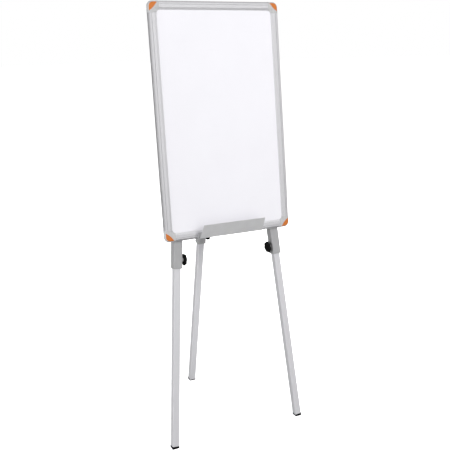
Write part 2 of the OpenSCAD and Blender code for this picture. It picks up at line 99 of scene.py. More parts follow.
class Leg(Enum):
    """The three telescopic legs."""

    LEFT = "left"
    RIGHT = "right"
    REAR = "rear"

    @property
    def side(self) -> int:
        """-1 for the leg on the left, 1 for the others."""
        return -1 if self is Leg.LEFT else 1

    @property
    def clamp_side(self) -> int:
        """Side of the tube that the clamp is on: the front legs' clamps face each other."""
        return -1 if self is Leg.RIGHT else 1

    @property
    def holder(self) -> str:
        """Body that carries the leg's outer tube."""
        return "rear_strut" if self is Leg.REAR else BOARD

    @property
    def tube(self) -> str:
        """Solid of the leg's outer tube."""
        return "rear_tube" if self is Leg.REAR else f"front_tube_{self.value}"

    @property
    def plug(self) -> str:
        """Solid of the plug in the outer tube's upper end."""
        return "rear_plug" if self is Leg.REAR else f"tube_plug_{self.value}"


FRONT_LEGS = (Leg.LEFT, Leg.RIGHT)


@dataclass(frozen=True)
class Layout:
    """Sizes and places that the new pieces share with the solids.

    The board's place is the middle of its lower front edge. The front tubes drop below that edge, and
    the rear tube hangs from its hinge. A clamp's height counts from the lower end of its tube.
    """

    board_w: float = 0.608
    board_h: float = 1.0
    board_y: float = -0.18058
    board_z: float = 0.915
    lean: float = 8.4
    rail_d: float = 0.024
    tube_w: float = 0.040
    leg_in: float = 0.069
    splay: float = 4.95
    tube_drop: float = 0.1185
    rear_len: float = 0.958
    hinge_down: float = 0.161
    fold_gap: float = 0.001
    open_angle: float = 17.7
    clamp_up: float = 0.031

    @property
    def leg_x(self) -> float:
        """Distance of a front tube's axis from the middle, at the board's lower edge."""
        return self.board_w / 2 - self.leg_in

    @property
    def leg_d(self) -> float:
        """Depth of the front tubes' axes behind the front of the frame."""
        return self.rail_d + self.tube_w / 2

    def board(self) -> Matrix:
        """Axes of the board: x to the right, y backwards and z up its face."""
        return Matrix.Translation((0, self.board_y, self.board_z)) @ turn(-self.lean, "X")

    def across(self) -> Matrix:
        """Axes of a rail that runs across the board, with z along it."""
        return self.board() @ turn(RIGHT_ANGLE, "Y")

    def leg(self, leg: Leg) -> Matrix:
        """Axes of a leg.

        Args:
            leg: The leg that is meant.

        Returns:
            The place of the leg's axes, with z up along its tube.
        """
        if leg is Leg.REAR:
            hinge = (0, self.leg_d + self.fold_gap, self.board_h - self.hinge_down)
            return self.board() @ Matrix.Translation(hinge) @ turn(self.open_angle, "X")
        crossing = (leg.side * self.leg_x, self.leg_d, 0)
        return self.board() @ Matrix.Translation(crossing) @ turn(-leg.side * self.splay, "Y")

    def clamp(self, leg: Leg) -> Matrix:
        """Axes of a clamp.

        Args:
            leg: The leg whose clamp is meant.

        Returns:
            The place of the clamp's axes, with z outwards along its screw.
        """
        end = self.rear_len if leg is Leg.REAR else self.tube_drop
        up = Matrix.Translation((0, 0, self.clamp_up - end))
        return self.leg(leg) @ up @ turn(leg.clamp_side * RIGHT_ANGLE, "Y")


# Nodes


class Pattern(Enum):
    """How the colour of a finish varies."""

    CLOUDS = "ShaderNodeTexNoise"
    CELLS = "ShaderNodeTexVoronoi"


def node_socket(sockets: Iterable[NodeSocket], identifier: str) -> NodeSocket:
    """Finds a socket by its identifier, where several sockets share a name."""
    return next(each for each in sockets if each.identifier == identifier)


def opaque(colour: Colour) -> tuple[float, float, float, float]:
    """A colour that hides what is behind it, as sockets take it."""
    return (*colour, 1.0)


class Nodes:
    """Node tree of a material or of the world."""

    def __init__(self, tree: NodeTree) -> None:
        """Empties the tree.

        Args:
            tree: The tree to fill.
        """
        self.tree = tree
        self.tree.nodes.clear()

    def add(self, kind: str) -> ShaderNode:
        """Adds a node of a kind."""
        return self.tree.nodes.new(kind)

    def link(self, source: NodeSocket, target: NodeSocket) -> None:
        """Joins two sockets."""
        self.tree.links.new(source, target)

    def feed(self, source: NodeSocket | float, target: NodeSocket) -> None:
        """Gives a socket its value.

        Args:
            source: Socket to join it to, or a number.
            target: The socket.
        """
        if isinstance(source, NodeSocket):
            self.link(source, target)
        else:
            target.default_value = source

    def arithmetic(self, operation: str, first: NodeSocket, second: NodeSocket | float) -> NodeSocket:
        """Works a level out from two others.

        Args:
            operation: Name of the operation.
            first: First level.
            second: Second level, or a number.

        Returns:
            The new level.
        """
        node = self.add("ShaderNodeMath")
        node.operation = operation
        self.link(first, node_socket(node.inputs, "Value"))
        self.feed(second, node_socket(node.inputs, "Value_001"))
        return node.outputs["Value"]

    def choose(self, share: NodeSocket, usual: NodeSocket | float, other: NodeSocket | float) -> NodeSocket:
        """Goes from one level to another.

        Args:
            share: 0 for the usual level and 1 for the other one.
            usual: The usual level.
            other: The other level.

        Returns:
            The level between them.
        """
        node = self.add("ShaderNodeMix")
        self.link(share, node_socket(node.inputs, "Factor_Float"))
        self.feed(usual, node_socket(node.inputs, "A_Float"))
        self.feed(other, node_socket(node.inputs, "B_Float"))
        return node_socket(node.outputs, "Result_Float")

    def rise(self, place: NodeSocket, axis: Axis, span: Span, levels: Span) -> NodeSocket:
        """Makes a level that rises along an axis.

        Args:
            place: Direction or position.
            axis: Axis along which the level rises.
            span: Where the level starts and ends.
            levels: Level at the start and at the end.

        Returns:
            The level.
        """
        dot = self.add("ShaderNodeVectorMath")
        dot.operation = "DOT_PRODUCT"
        node_socket(dot.inputs, "Vector_001").default_value = axis
        slope = self.add("ShaderNodeMapRange")
        for name, value in zip(("From Min", "From Max", "To Min", "To Max"), (*span, *levels)):
            slope.inputs[name].default_value = value
        self.link(place, node_socket(dot.inputs, "Vector"))
        self.link(dot.outputs["Value"], slope.inputs["Value"])
        return slope.outputs["Result"]


class SurfaceNodes(Nodes):
    """Nodes of a new material, with its shader and its place on the object."""

    def __init__(self, name: str) -> None:
        """Starts the material with a shader and its output.

        Args:
            name: Name of the material.
        """
        self.material = bpy.data.materials.new(name)
        self.material.use_nodes = True
        super().__init__(self.material.node_tree)
        self.shader = self.add("ShaderNodeBsdfPrincipled")
        output = self.add("ShaderNodeOutputMaterial")
        self.link(self.shader.outputs["BSDF"], output.inputs["Surface"])
        self.place = self.add("ShaderNodeTexCoord").outputs["Object"]


class FinishNodes(SurfaceNodes):
    """Nodes of one finish, with its patterns turned to the piece's own axes."""

    noise_detail = 4.0

    def __init__(self, name: str, axes: Matrix) -> None:
        """Starts the finish's material.

        Args:
            name: Name of the material.
            axes: Place of the piece's axes, with z along its grain.
        """
        super().__init__(name)
        self.axes = axes

    def texture(self, pattern: Pattern, size: Size) -> NodeSocket:
        """Adds a texture along the piece's axes.

        Args:
            pattern: Kind of texture.
            size: Size of its features across, across and along the grain.

        Returns:
            The texture's level, or the random colour of each cell.
        """
        mapping = self.add("ShaderNodeMapping")
        mapping.vector_type = "TEXTURE"
        mapping.inputs["Location"].default_value = self.axes.translation
        mapping.inputs["Rotation"].default_value = self.axes.to_euler()
        mapping.inputs["Scale"].default_value = size
        texture = self.add(pattern.value)
        # The mapping gives the features their size
        texture.inputs["Scale"].default_value = 1.0
        self.link(self.place, mapping.inputs["Vector"])
        self.link(mapping.outputs["Vector"], texture.inputs["Vector"])
        if pattern is Pattern.CELLS:
            return texture.outputs["Color"]
        texture.inputs["Detail"].default_value = self.noise_detail
        return texture.outputs["Fac"]

    def ramp(self, level: NodeSocket, low: Stop, high: Stop) -> NodeSocket:
        """Turns a level into a colour.

        Args:
            level: Level from 0 to 1.
            low: The lower place on the ramp, with its colour.
            high: The higher place on the ramp, with its colour.

        Returns:
            The colour.
        """
        node = self.add("ShaderNodeValToRGB")
        for element, (position, colour) in zip(node.color_ramp.elements, (low, high)):
            element.position = position
            element.color = opaque(colour)
        self.link(level, node.inputs["Fac"])
        return node.outputs["Color"]

    def cover(self, mask: NodeSocket, below: NodeSocket, above: Colour) -> NodeSocket:
        """Lays a colour over another where a mask shows it.

        Args:
            mask: Share of the colour on top.
            below: Colour underneath.
            above: Colour on top.

        Returns:
            The mixed colour.
        """
        node = self.add("ShaderNodeMix")
        node.data_type = "RGBA"
        self.link(mask, node_socket(node.inputs, "Factor_Float"))
        self.link(below, node_socket(node.inputs, "A_Color"))
        node_socket(node.inputs, "B_Color").default_value = opaque(above)
        return node_socket(node.outputs, "Result_Color")

    def openness(self, reach: float) -> NodeSocket:
        """Tells narrow grooves of the piece from its open faces.

        Args:
            reach: Distance within which the piece may shut itself in.

        Returns:
            A level that is lower the more a place is shut in.
        """
        node = self.add("ShaderNodeAmbientOcclusion")
        node.only_local = True
        node.inputs["Distance"].default_value = reach
        return node.outputs["AO"]

    def bump(self, height: NodeSocket, depth: float) -> None:
        """Raises the surface by a texture.

        Args:
            height: Level of the texture.
            depth: Height of its relief.
        """
        node = self.add("ShaderNodeBump")
        node.inputs["Distance"].default_value = depth
        self.link(height, node.inputs["Height"])
        self.link(node.outputs["Normal"], self.shader.inputs["Normal"])


# Finishes


def grey(level: float, blue: float = 0.0) -> Colour:
    """A grey of a linear level, with a little more blue."""
    return (level, level, level + blue)


WHITE = grey(1.0)
BLACK = grey(0.0)


@dataclass(frozen=True)
class Wear:
    """Traces of use: marks that show where a stretched noise is high."""

    colour: Colour
    size: Size
    strength: float
    begins: float = 0.6
    full: float = 0.72

    def mask(self, nodes: FinishNodes) -> NodeSocket:
        """Shows where the marks are."""
        marks = nodes.texture(Pattern.CLOUDS, self.size)
        return nodes.ramp(marks, (self.begins, BLACK), (self.full, grey(self.strength)))


@dataclass(frozen=True)
class GrooveShade:
    """Painted shade in narrow grooves: the colour gets darker where the piece shuts itself in."""

    colour: Colour
    reach: float
    strength: float
    # Openness at which the painted shade is darkest, and openness from which no shade is painted
    fully_shaded: float = 0.4
    unshaded: float = 0.9

    def mask(self, nodes: FinishNodes) -> NodeSocket:
        """Shows where the piece is shut in, which is where the shade is painted."""
        openness = nodes.openness(self.reach)
        return nodes.ramp(openness, (self.fully_shaded, grey(self.strength)), (self.unshaded, BLACK))


@dataclass(frozen=True)
class Finish:
    """One surface finish: a colour that varies a little, a fine grain, traces of use and painted shade in
    narrow grooves.

    The sizes of its patterns run across, across and along the grain of the piece. Over the span of a
    pattern's level the colour goes from dark to light, and the surface from smooth to rough.
    """

    slot: str
    dark: Colour
    light: Colour
    patch: Size
    grain: Size
    grain_depth: float
    rough: Span
    pattern: Pattern = Pattern.CLOUDS
    span: Span = (0.3, 0.7)
    metallic: float = 0.0
    coat: float = 0.0
    specular: float = 0.5
    wear: Wear | None = None
    # Painted shade in narrow grooves, where the piece shuts itself in, if any
    groove_shade: GrooveShade | None = None

    def material(self, axes: Matrix, where: str = "plain") -> Material:
        """Makes the finish's material for pieces that lie along the same axes.

        Args:
            axes: Place of the pieces' axes, with z along the grain.
            where: Word that tells the material from others of the same finish.

        Returns:
            The material.
        """
        nodes = FinishNodes(f"{self.slot}_{where}", axes)
        sockets = nodes.shader.inputs
        sockets["Metallic"].default_value = self.metallic
        sockets["Coat Weight"].default_value = self.coat
        sockets["Specular IOR Level"].default_value = self.specular
        low, high = self.span
        patches = nodes.texture(self.pattern, self.patch)
        colour = nodes.ramp(patches, (low, self.dark), (high, self.light))
        # Real wear, and painted shade in the grooves, go over the colour
        for wear_or_shade in (self.wear, self.groove_shade):
            if wear_or_shade:
                colour = nodes.cover(wear_or_shade.mask(nodes), colour, wear_or_shade.colour)
        nodes.link(colour, sockets["Base Color"])
        grain = nodes.texture(Pattern.CLOUDS, self.grain)
        smoothest, roughest = self.rough
        roughness = nodes.ramp(grain, (low, grey(smoothest)), (high, grey(roughest)))
        nodes.link(roughness, sockets["Roughness"])
        nodes.bump(grain, self.grain_depth)
        return nodes.material


FINE = (0.0006, 0.0006, 0.0006)
PEEL = (0.0016, 0.0016, 0.0016)
ALONG = (0.0007, 0.0007, 0.12)
BROAD = (0.05, 0.05, 0.05)

WRITING_ENAMEL = Finish(
    slot="writing_enamel",
    dark=(0.828, 0.82, 0.86),
    light=(0.844, 0.836, 0.876),
    patch=(0.16, 0.16, 0.22),
    grain=PEEL,
    grain_depth=0.00002,
    rough=(0.34, 0.44),
    wear=Wear(colour=(0.8, 0.792, 0.832), size=(0.09, 0.09, 0.012), strength=0.25),
)
CORE = Finish(
    slot="core",
    dark=(0.36, 0.24, 0.13),
    light=(0.62, 0.47, 0.3),
    pattern=Pattern.CELLS,
    patch=(0.004, 0.004, 0.002),
    grain=PEEL,
    grain_depth=0.0003,
    rough=(0.8, 0.95),
)
BACKING = Finish(
    slot="backing",
    dark=grey(0.42, 0.01),
    light=grey(0.48, 0.01),
    patch=(0.006, 0.006, 0.3),
    grain=FINE,
    grain_depth=0.00001,
    rough=(0.38, 0.5),
    metallic=0.2,
    wear=Wear(colour=grey(0.36), size=(0.03, 0.03, 0.05), strength=0.3),
)
RAIL_ALUMINIUM = Finish(
    slot="rail_aluminium",
    dark=(0.865, 0.86, 0.885),
    light=(0.905, 0.9, 0.925),
    patch=ALONG,
    grain=ALONG,
    grain_depth=0.00001,
    rough=(0.26, 0.34),
    metallic=0.8,
    # Painted shade: the rails' grooves get darker where the rail shuts itself in
    groove_shade=GrooveShade(colour=grey(0.2), reach=0.004, strength=0.62),
)
GREY_PLASTIC = Finish(
    slot="grey_plastic",
    dark=grey(0.49, 0.005),
    light=grey(0.53, 0.005),
    patch=BROAD,
    grain=FINE,
    grain_depth=0.00004,
    rough=(0.5, 0.62),
)
ORANGE_PLASTIC = Finish(
    slot="orange_plastic",
    dark=(0.55, 0.15, 0.02),
    light=(0.6, 0.175, 0.026),
    patch=BROAD,
    grain=FINE,
    grain_depth=0.00002,
    rough=(0.34, 0.44),
    coat=0.1,
)
TRAY_PAINT = Finish(
    slot="tray_paint",
    dark=grey(0.57, 0.008),
    light=grey(0.61, 0.008),
    patch=BROAD,
    grain=PEEL,
    grain_depth=0.00005,
    rough=(0.42, 0.54),
    wear=Wear(colour=grey(0.36), size=(0.0012, 0.0012, 0.03), strength=0.35),
)
TUBE_PAINT = Finish(
    slot="tube_paint",
    dark=grey(0.365, 0.006),
    light=grey(0.395, 0.006),
    patch=BROAD,
    grain=PEEL,
    grain_depth=0.00006,
    rough=(0.42, 0.55),
    wear=Wear(colour=grey(0.42), size=(0.0012, 0.0012, 0.05), strength=0.3),
)
INNER_TUBE_METAL = Finish(
    slot="inner_tube_metal",
    dark=(0.628, 0.624, 0.648),
    light=(0.668, 0.664, 0.688),
    patch=ALONG,
    grain=ALONG,
    grain_depth=0.00001,
    rough=(0.4, 0.5),
    metallic=0.1,
    wear=Wear(colour=grey(0.56, 0.02), size=(0.001, 0.001, 0.2), strength=0.4),
)
BUSH_PLASTIC = Finish(
    slot="bush_plastic",
    dark=grey(0.365, 0.005),
    light=grey(0.395, 0.005),
    patch=BROAD,
    grain=FINE,
    grain_depth=0.00004,
    rough=(0.5, 0.62),
)
BLACK_PLASTIC = Finish(
    slot="black_plastic",
    dark=grey(0.004),
    light=grey(0.008),
    patch=BROAD,
    grain=FINE,
    grain_depth=0.00005,
    rough=(0.5, 0.62),
    specular=0.15,
    wear=Wear(colour=grey(0.03), size=(0.004, 0.004, 0.004), strength=0.4, begins=0.64),
)
PAD_BRASS = Finish(
    slot="pad_brass",
    dark=(0.56, 0.38, 0.12),
    light=(0.66, 0.48, 0.18),
    patch=BROAD,
    grain=FINE,
    grain_depth=0.00002,
    rough=(0.28, 0.4),
    metallic=1.0,
)
ZINC_STEEL = Finish(
    slot="zinc_steel",
    dark=grey(0.5, 0.012),
    light=grey(0.62, 0.02),
    pattern=Pattern.CELLS,
    patch=(0.006, 0.006, 0.006),
    grain=FINE,
    grain_depth=0.00001,
    rough=(0.3, 0.44),
    span=(0.1, 0.9),
    metallic=0.75,
)
WELD = Finish(
    slot="tube_paint",
    dark=grey(0.355, 0.006),
    light=grey(0.385, 0.006),
    patch=BROAD,
    grain=PEEL,
    grain_depth=0.00008,
    rough=(0.44, 0.58),
)


# Tools for meshes


def arc(centre: Point, reach: Point, angles: Span, steps: int) -> Profile:
    """Follows a part of an ellipse.

    Args:
        centre: Radius and height of its centre.
        reach: Its half width along the radius and along the height.
        angles: Angles at its start and its end, counted from the outward direction upwards.
        steps: Number of steps along it.

    Returns:
        The points, with both ends.
    """
    start, end = angles
    radius, height = centre
    reach_out, reach_up = reach
    turns = [radians(start + (end - start) * step / steps) for step in range(steps + 1)]
    return [(radius + reach_out * cos(angle), height + reach_up * sin(angle)) for angle in turns]


def drawn(bm: BMesh, profile: Profile, closed: bool = False) -> list[BMVert | BMEdge]:
    """Draws a profile in the plane of the x and z axes.

    Args:
        bm: Mesh to draw it in.
        profile: Radius and height of each point.
        closed: Whether the last point is joined to the first.

    Returns:
        The points and the lines between them.
    """
    points = [bm.verts.new((radius, 0.0, height)) for radius, height in profile]
    ends = points[1:] + points[:1] if closed else points[1:]
    lines = [bm.edges.new(pair) for pair in zip(points, ends)]
    return points + lines


def turned(profile: Profile, steps: int, closed: bool = False) -> BMesh:
    """Turns a profile about the z axis.

    Args:
        profile: Radius and height of each point.
        steps: Number of steps round the axis.
        closed: Whether the profile is a loop, which makes a ring, or runs from axis to axis.

    Returns:
        A closed mesh whose faces point outwards.
    """
    bm = bmesh.new()
    bmesh.ops.spin(
        bm,
        geom=drawn(bm, profile, closed),
        cent=ORIGIN,
        axis=UPWARDS,
        angle=tau,
        steps=steps,
        use_merge=True,
    )
    bmesh.ops.remove_doubles(bm, verts=bm.verts, dist=MERGE)
    bmesh.ops.recalc_face_normals(bm, faces=bm.faces)
    return bm


def warped(bm: BMesh, radius_at: Callable[[Vector, float], float]) -> BMesh:
    """Moves a turned mesh's points in or out from its axis.

    Args:
        bm: The turned mesh.
        radius_at: Gives a point's new radius from the point and its angle round the axis, in radians.

    Returns:
        The same mesh.
    """
    for point in bm.verts:
        radius = point.co.xy.length
        if radius > MERGE:
            point.co.xy *= radius_at(point.co, atan2(point.co.y, point.co.x)) / radius
    return bm


def cut_level(bm: BMesh, height: float, outwards: int) -> None:
    """Cuts a mesh off level and closes the cut.

    Args:
        bm: The mesh.
        height: Height of the cut.
        outwards: 1 to take away what is above it, -1 to take away what is below.
    """
    cut = bmesh.ops.bisect_plane(
        bm,
        geom=[*bm.verts, *bm.edges, *bm.faces],
        plane_co=(0, 0, height),
        plane_no=(0, 0, outwards),
        clear_outer=True,
    )
    edges = [each for each in cut["geom_cut"] if isinstance(each, BMEdge)]
    bmesh.ops.edgeloop_fill(bm, edges=edges)


def repeated(bm: BMesh, places: Iterable[Matrix]) -> BMesh:
    """Joins copies of a mesh.

    Args:
        bm: The mesh, which is used up.
        places: Places of the copies.

    Returns:
        The joined mesh.
    """
    whole = bmesh.new()
    mesh = bpy.data.meshes.new("copy")
    for place in places:
        bm.to_mesh(mesh)
        mesh.transform(place)
        whole.from_mesh(mesh)
    bpy.data.meshes.remove(mesh)
    bm.free()
    return whole


def shown(name: str, data: ID) -> Object:
    """Puts a new object into the scene.

    Args:
        name: Name of the object.
        data: Its mesh, lamp or camera.

    Returns:
        The object.
    """
    made = bpy.data.objects.new(name, data)
    bpy.context.scene.collection.objects.link(made)
    return made


def mesh_object(bm: BMesh, name: str, material: Material) -> Object:
    """Makes an object of a mesh that is already in place.

    Args:
        bm: The mesh, which is used up.
        name: Name of the object.
        material: Its material.

    Returns:
        The object.
    """
    mesh = bpy.data.meshes.new(name)
    bm.to_mesh(mesh)
    bm.free()
    mesh.materials.append(material)
    return shown(name, mesh)


def piece(bm: BMesh, name: str, body: str, finish: Finish, axes: Matrix, stands_for: str = "") -> None:
    """Makes a finished piece of a mesh that is already in place.

    Args:
        bm: The mesh, which is used up.
        name: Name of the piece.
        body: Body that the piece rides on.
        finish: Its finish.
        axes: Axes of its grain.
        stands_for: Solid that it replaces, if any.
    """
    for face in bm.faces:
        face.smooth = True
    for edge in bm.edges:
        edge.smooth = edge.calc_face_angle(0.0) < SHARP
    made = mesh_object(bm, name, finish.material(axes, name))
    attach(made, body)
    if stands_for:
        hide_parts(stands_for)
    LOG.info("built %s on %s, %d faces", name, body, len(made.data.polygons))


# Small pieces


@dataclass(frozen=True)
class Screw:
    """Button-head screw with a hexagon socket, with its head's seat at zero and its shank pointing down."""

    shank_r: float = 0.002
    shank_len: float = 0.014
    point_r: float = 0.001
    point_len: float = 0.001
    head_r: float = 0.004
    head_h: float = 0.0024
    top_r: float = 0.0018
    socket_r: float = 0.00125
    socket_deep: float = 0.0014
    socket_tip: float = 0.0003
    sides: int = 6
    dome_steps: int = 5
    steps: int = 24

    @property
    def socket_floor(self) -> float:
        """Height of the socket's floor."""
        return self.head_h - self.socket_deep

    def build(self) -> BMesh:
        """Turns the screw and shapes its socket.

        Returns:
            The screw's mesh.
        """
        dome = (self.head_r - self.top_r, self.head_h)
        bm = turned(
            [
                (0, -self.shank_len),
                (self.point_r, -self.shank_len),
                (self.shank_r, self.point_len - self.shank_len),
                (self.shank_r, 0),
                *arc((self.top_r, 0), dome, UPPER_QUARTER, self.dome_steps),
                (self.socket_r, self.head_h),
                (self.socket_r, self.socket_floor),
                (0, self.socket_floor - self.socket_tip),
            ],
            self.steps,
        )
        return warped(bm, self.socket_radius)

    def socket_radius(self, point: Vector, angle: float) -> float:
        """New radius of a point: the socket's corners lie further out than its sides.

        Args:
            point: Point of the turned screw.
            angle: Its angle round the axis, in radians.

        Returns:
            Its radius.
        """
        radius = point.xy.length
        if point.z < self.socket_floor - MERGE or radius > self.socket_r + MERGE:
            return radius
        side = tau / self.sides
        return radius / cos(angle % side - side / 2)


@dataclass(frozen=True)
class StarKnob:
    """Star knob with a hub in a hollow back, a dished front and a cap, with its back at zero."""

    bore_r: float
    bore_deep: float
    rim_r: float = 0.026
    waist_r: float = 0.0225
    thick: float = 0.010
    lobes: int = 7
    hub_r: float = 0.009
    hollow_r: float = 0.0155
    hollow_deep: float = 0.004
    rim_round: float = 0.0025
    dish: float = 0.0012
    lip: float = 0.0006
    arc_steps: int = 4
    steps: int = 84

    def build(self) -> BMesh:
        """Turns the knob's section and pulls its rim in between the lobes.

        Returns:
            The knob's mesh.
        """
        lip = self.lip
        top = self.thick
        soft = self.rim_round
        rim = self.rim_r - soft
        dished = top - self.dish
        bm = turned(
            [
                (0, self.bore_deep),
                (self.bore_r, self.bore_deep),
                (self.bore_r, 0),
                (self.hub_r - lip, 0),
                (self.hub_r, lip),
                (self.hub_r, self.hollow_deep),
                (self.hollow_r, self.hollow_deep),
                (self.hollow_r, lip),
                (self.hollow_r + lip, 0),
                *arc((rim, soft), (soft, soft), LOWER_QUARTER, self.arc_steps),
                *arc((rim, top - soft), (soft, soft), UPPER_QUARTER, self.arc_steps),
                (self.hollow_r + self.dish, top),
                (self.hollow_r, dished),
                (self.hub_r + lip, dished),
                (self.hub_r, dished - lip),
                (self.hub_r, top - lip),
                *arc((0, top), (self.hub_r - lip, lip), UPPER_QUARTER, self.arc_steps),
            ],
            self.steps,
        )
        return warped(bm, self.star_radius)

    def star_radius(self, point: Vector, angle: float) -> float:
        """New radius of a point: the rim dips between its lobes.

        Args:
            point: Point of the turned knob.
            angle: Its angle round the axis, in radians.

        Returns:
            Its radius.
        """
        radius = point.xy.length
        share = max(0.0, (radius - self.hollow_r) / (self.rim_r - self.hollow_r))
        dip = (1 - cos(self.lobes * angle)) / 2
        return radius - share * dip * (self.rim_r - self.waist_r)


@dataclass(frozen=True)
class ThreadedStud:
    """Stud with a thread from end to end, along the z axis."""

    radius: float
    low: float
    high: float
    pitch: float = 0.00125
    thread_deep: float = 0.0007
    thread_flat: float = 0.00016
    spare_turns: int = 3
    steps: int = 24

    def build(self) -> BMesh:
        """Winds the thread and cuts it to length.

        Returns:
            The stud's mesh.
        """
        turns = int((self.high - self.low) / self.pitch) + self.spare_turns
        step = self.pitch / self.steps
        # Half a step lower than a whole turn, so that no point of the thread lies on a cut
        start = self.low - self.pitch - step / 2
        root = self.radius - self.thread_deep
        section = [
            (root, 0),
            (root, self.thread_flat),
            (self.radius, self.pitch / 2),
            (self.radius, self.pitch / 2 + self.thread_flat),
            (root, self.pitch),
        ]
        bm = bmesh.new()
        bmesh.ops.spin(
            bm,
            geom=drawn(bm, [(radius, start + height) for radius, height in section]),
            cent=ORIGIN,
            axis=UPWARDS,
            dvec=(0, 0, step),
            angle=tau * turns,
            steps=self.steps * turns,
        )
        bmesh.ops.remove_doubles(bm, verts=bm.verts, dist=MERGE)
        cut_level(bm, self.low, -1)
        cut_level(bm, self.high, 1)
        bmesh.ops.recalc_face_normals(bm, faces=bm.faces)
        return bm


@dataclass(frozen=True)
class WeldBead:
    """Rippled bead in the corner between a boss, which stands along the z axis, and a tube's face."""

    boss_r: float
    face: float
    size: float = 0.002
    sunk: float = 0.00025
    ripple: float = 0.00017
    ripples: int = 22
    arc_steps: int = 4
    steps: int = 84

    def build(self) -> BMesh:
        """Turns the bead's quarter-round section and ripples it.

        Returns:
            The bead's mesh.
        """
        root = (self.boss_r - self.sunk, self.face - self.sunk)
        reach = self.size + self.sunk
        section = [root, *arc(root, (reach, reach), UPPER_QUARTER, self.arc_steps)]
        return warped(turned(section, self.steps, closed=True), self.rippled_radius)

    def rippled_radius(self, point: Vector, angle: float) -> float:
        """New radius of a point: what shows of the bead goes in and out.

        Args:
            point: Point of the turned bead.
            angle: Its angle round the axis, in radians.

        Returns:
            Its radius.
        """
        radius = point.xy.length
        if radius < self.boss_r:
            return radius
        return radius + cos(self.ripples * angle) * self.ripple


# Sub-assemblies


@dataclass
class SubAssembly(ABC):
    """Part of the easel, which dresses its solids and builds its new pieces, where it has any."""

    layout: Layout
    solids: Solids

    @abstractmethod
    def dress(self) -> None:
        """Gives the solids their finishes."""

    def build(self) -> None:
        """Builds the new pieces, where there are any."""

    def coat(self, names: Iterable[str], material: Material) -> None:
        """Gives solids a material.

        Args:
            names: Names of the solids.
            material: Their material.
        """
        for name in names:
            mesh = self.solids[name].data
            mesh.materials.clear()
            mesh.materials.append(material)
            LOG.info("dressed %s in %s", name, material.name)

    def build_screws(self, name: str, stands_for: str, places: Iterable[Matrix]) -> None:
        """Builds a group of screws on the board.

        Args:
            name: Name of the group.
            stands_for: Solid that it replaces.
            places: Places of the screws' seats, with z towards their heads.
        """
        bm = repeated(Screw().build(), places)
        piece(bm, name, BOARD, ZINC_STEEL, self.layout.board(), stands_for)


@dataclass
class BoardPanel(SubAssembly):
    """Enamelled writing face, its core and the backing sheet."""

    def dress(self) -> None:
        """Gives the panel's layers their finishes."""
        board = self.layout.board()
        self.coat(["board_face"], WRITING_ENAMEL.material(board))
        self.coat(["board_core"], CORE.material(board))
        self.coat(["board_backing"], BACKING.material(board))


@dataclass
class RailFrame(SubAssembly):
    """Rails, corner caps and their inserts, and the screws behind the corners."""

    screw_in: float = 0.0149
    screw_up: float = 0.062

    def dress(self) -> None:
        """Gives the frame its finishes, with the rails' lines along each rail."""
        board = self.layout.board()
        across = self.layout.across()
        ends = [f"{level}_{side}" for level in LEVELS for side in SIDES]
        self.coat([f"rail_{side}" for side in SIDES], RAIL_ALUMINIUM.material(board, "upright"))
        self.coat([f"rail_{level}" for level in LEVELS], RAIL_ALUMINIUM.material(across, "across"))
        self.coat([f"corner_{end}" for end in ends], GREY_PLASTIC.material(board))
        self.coat([f"insert_{end}" for end in ends], ORANGE_PLASTIC.material(board))

    def build(self) -> None:
        """Builds the screws that hold the corner caps, on the back of the upright rails."""
        layout = self.layout
        reach = layout.board_w / 2 - self.screw_in
        seats = [
            (side * reach, layout.rail_d, up)
            for side in (-1, 1)
            for up in (self.screw_up, layout.board_h - self.screw_up)
        ]
        backwards = turn(-RIGHT_ANGLE, "X")
        places = [layout.board() @ Matrix.Translation(seat) @ backwards for seat in seats]
        self.build_screws("corner_button_screws", "corner_screws", places)


@dataclass
class PenTray(SubAssembly):
    """Bent sheet tray on the bottom rail, with its screws."""

    sheet_t: float = 0.0015
    screw_up: float = 0.0149
    screw_step: float = 0.110

    def dress(self) -> None:
        """Paints the tray."""
        self.coat(["pen_tray"], TRAY_PAINT.material(self.layout.across()))

    def build(self) -> None:
        """Builds the three screws through the tray's flange."""
        seats = [(column * self.screw_step, -self.sheet_t, self.screw_up) for column in (-1, 0, 1)]
        forwards = turn(RIGHT_ANGLE, "X")
        places = [self.layout.board() @ Matrix.Translation(seat) @ forwards for seat in seats]
        self.build_screws("tray_button_screws", "tray_screws", places)


@dataclass
class OuterTubes(SubAssembly):
    """Outer tubes of the legs with their bosses, plugs, bushes and straps."""

    strap_t: float = 0.002
    strap_flange: float = 0.016
    strap_in: float = 0.018

    def dress(self) -> None:
        """Gives the tubes and what is fixed to them their finishes."""
        for leg in Leg:
            axes = self.layout.leg(leg)
            self.coat([leg.tube, f"boss_{leg.value}"], TUBE_PAINT.material(axes, leg.value))
            self.coat([leg.plug], BLACK_PLASTIC.material(axes, leg.plug))
            self.coat([f"bush_{leg.value}"], BUSH_PLASTIC.material(axes, leg.value))
        for leg in FRONT_LEGS:
            straps = [f"strap_{level}_{leg.value}" for level in LEVELS]
            self.coat(straps, ZINC_STEEL.material(self.layout.leg(leg), f"strap_{leg.value}"))

    def build(self) -> None:
        """Builds the screws of the four straps."""
        layout = self.layout
        reach = layout.tube_w / 2 + self.strap_t + self.strap_flange / 2
        depth = self.strap_t - layout.tube_w / 2
        levels = (self.strap_in, layout.board_h - self.strap_in)
        heights = [level / cos(radians(layout.splay)) for level in levels]
        seats = [(side * reach, depth, up) for up in heights for side in (-1, 1)]
        backwards = turn(-RIGHT_ANGLE, "X")
        places = [
            layout.leg(leg) @ Matrix.Translation(seat) @ backwards for leg in FRONT_LEGS for seat in seats
        ]
        self.build_screws("strap_button_screws", "strap_screws", places)


@dataclass
class RearHinge(SubAssembly):
    """Cross bar, bracket and pin that carry the rear leg."""

    def dress(self) -> None:
        """Gives the hinge its finishes."""
        self.coat(["cross_bar"], TUBE_PAINT.material(self.layout.across(), "cross_bar"))
        self.coat(["hinge_bracket", "hinge_pin"], ZINC_STEEL.material(self.layout.board(), "hinge"))


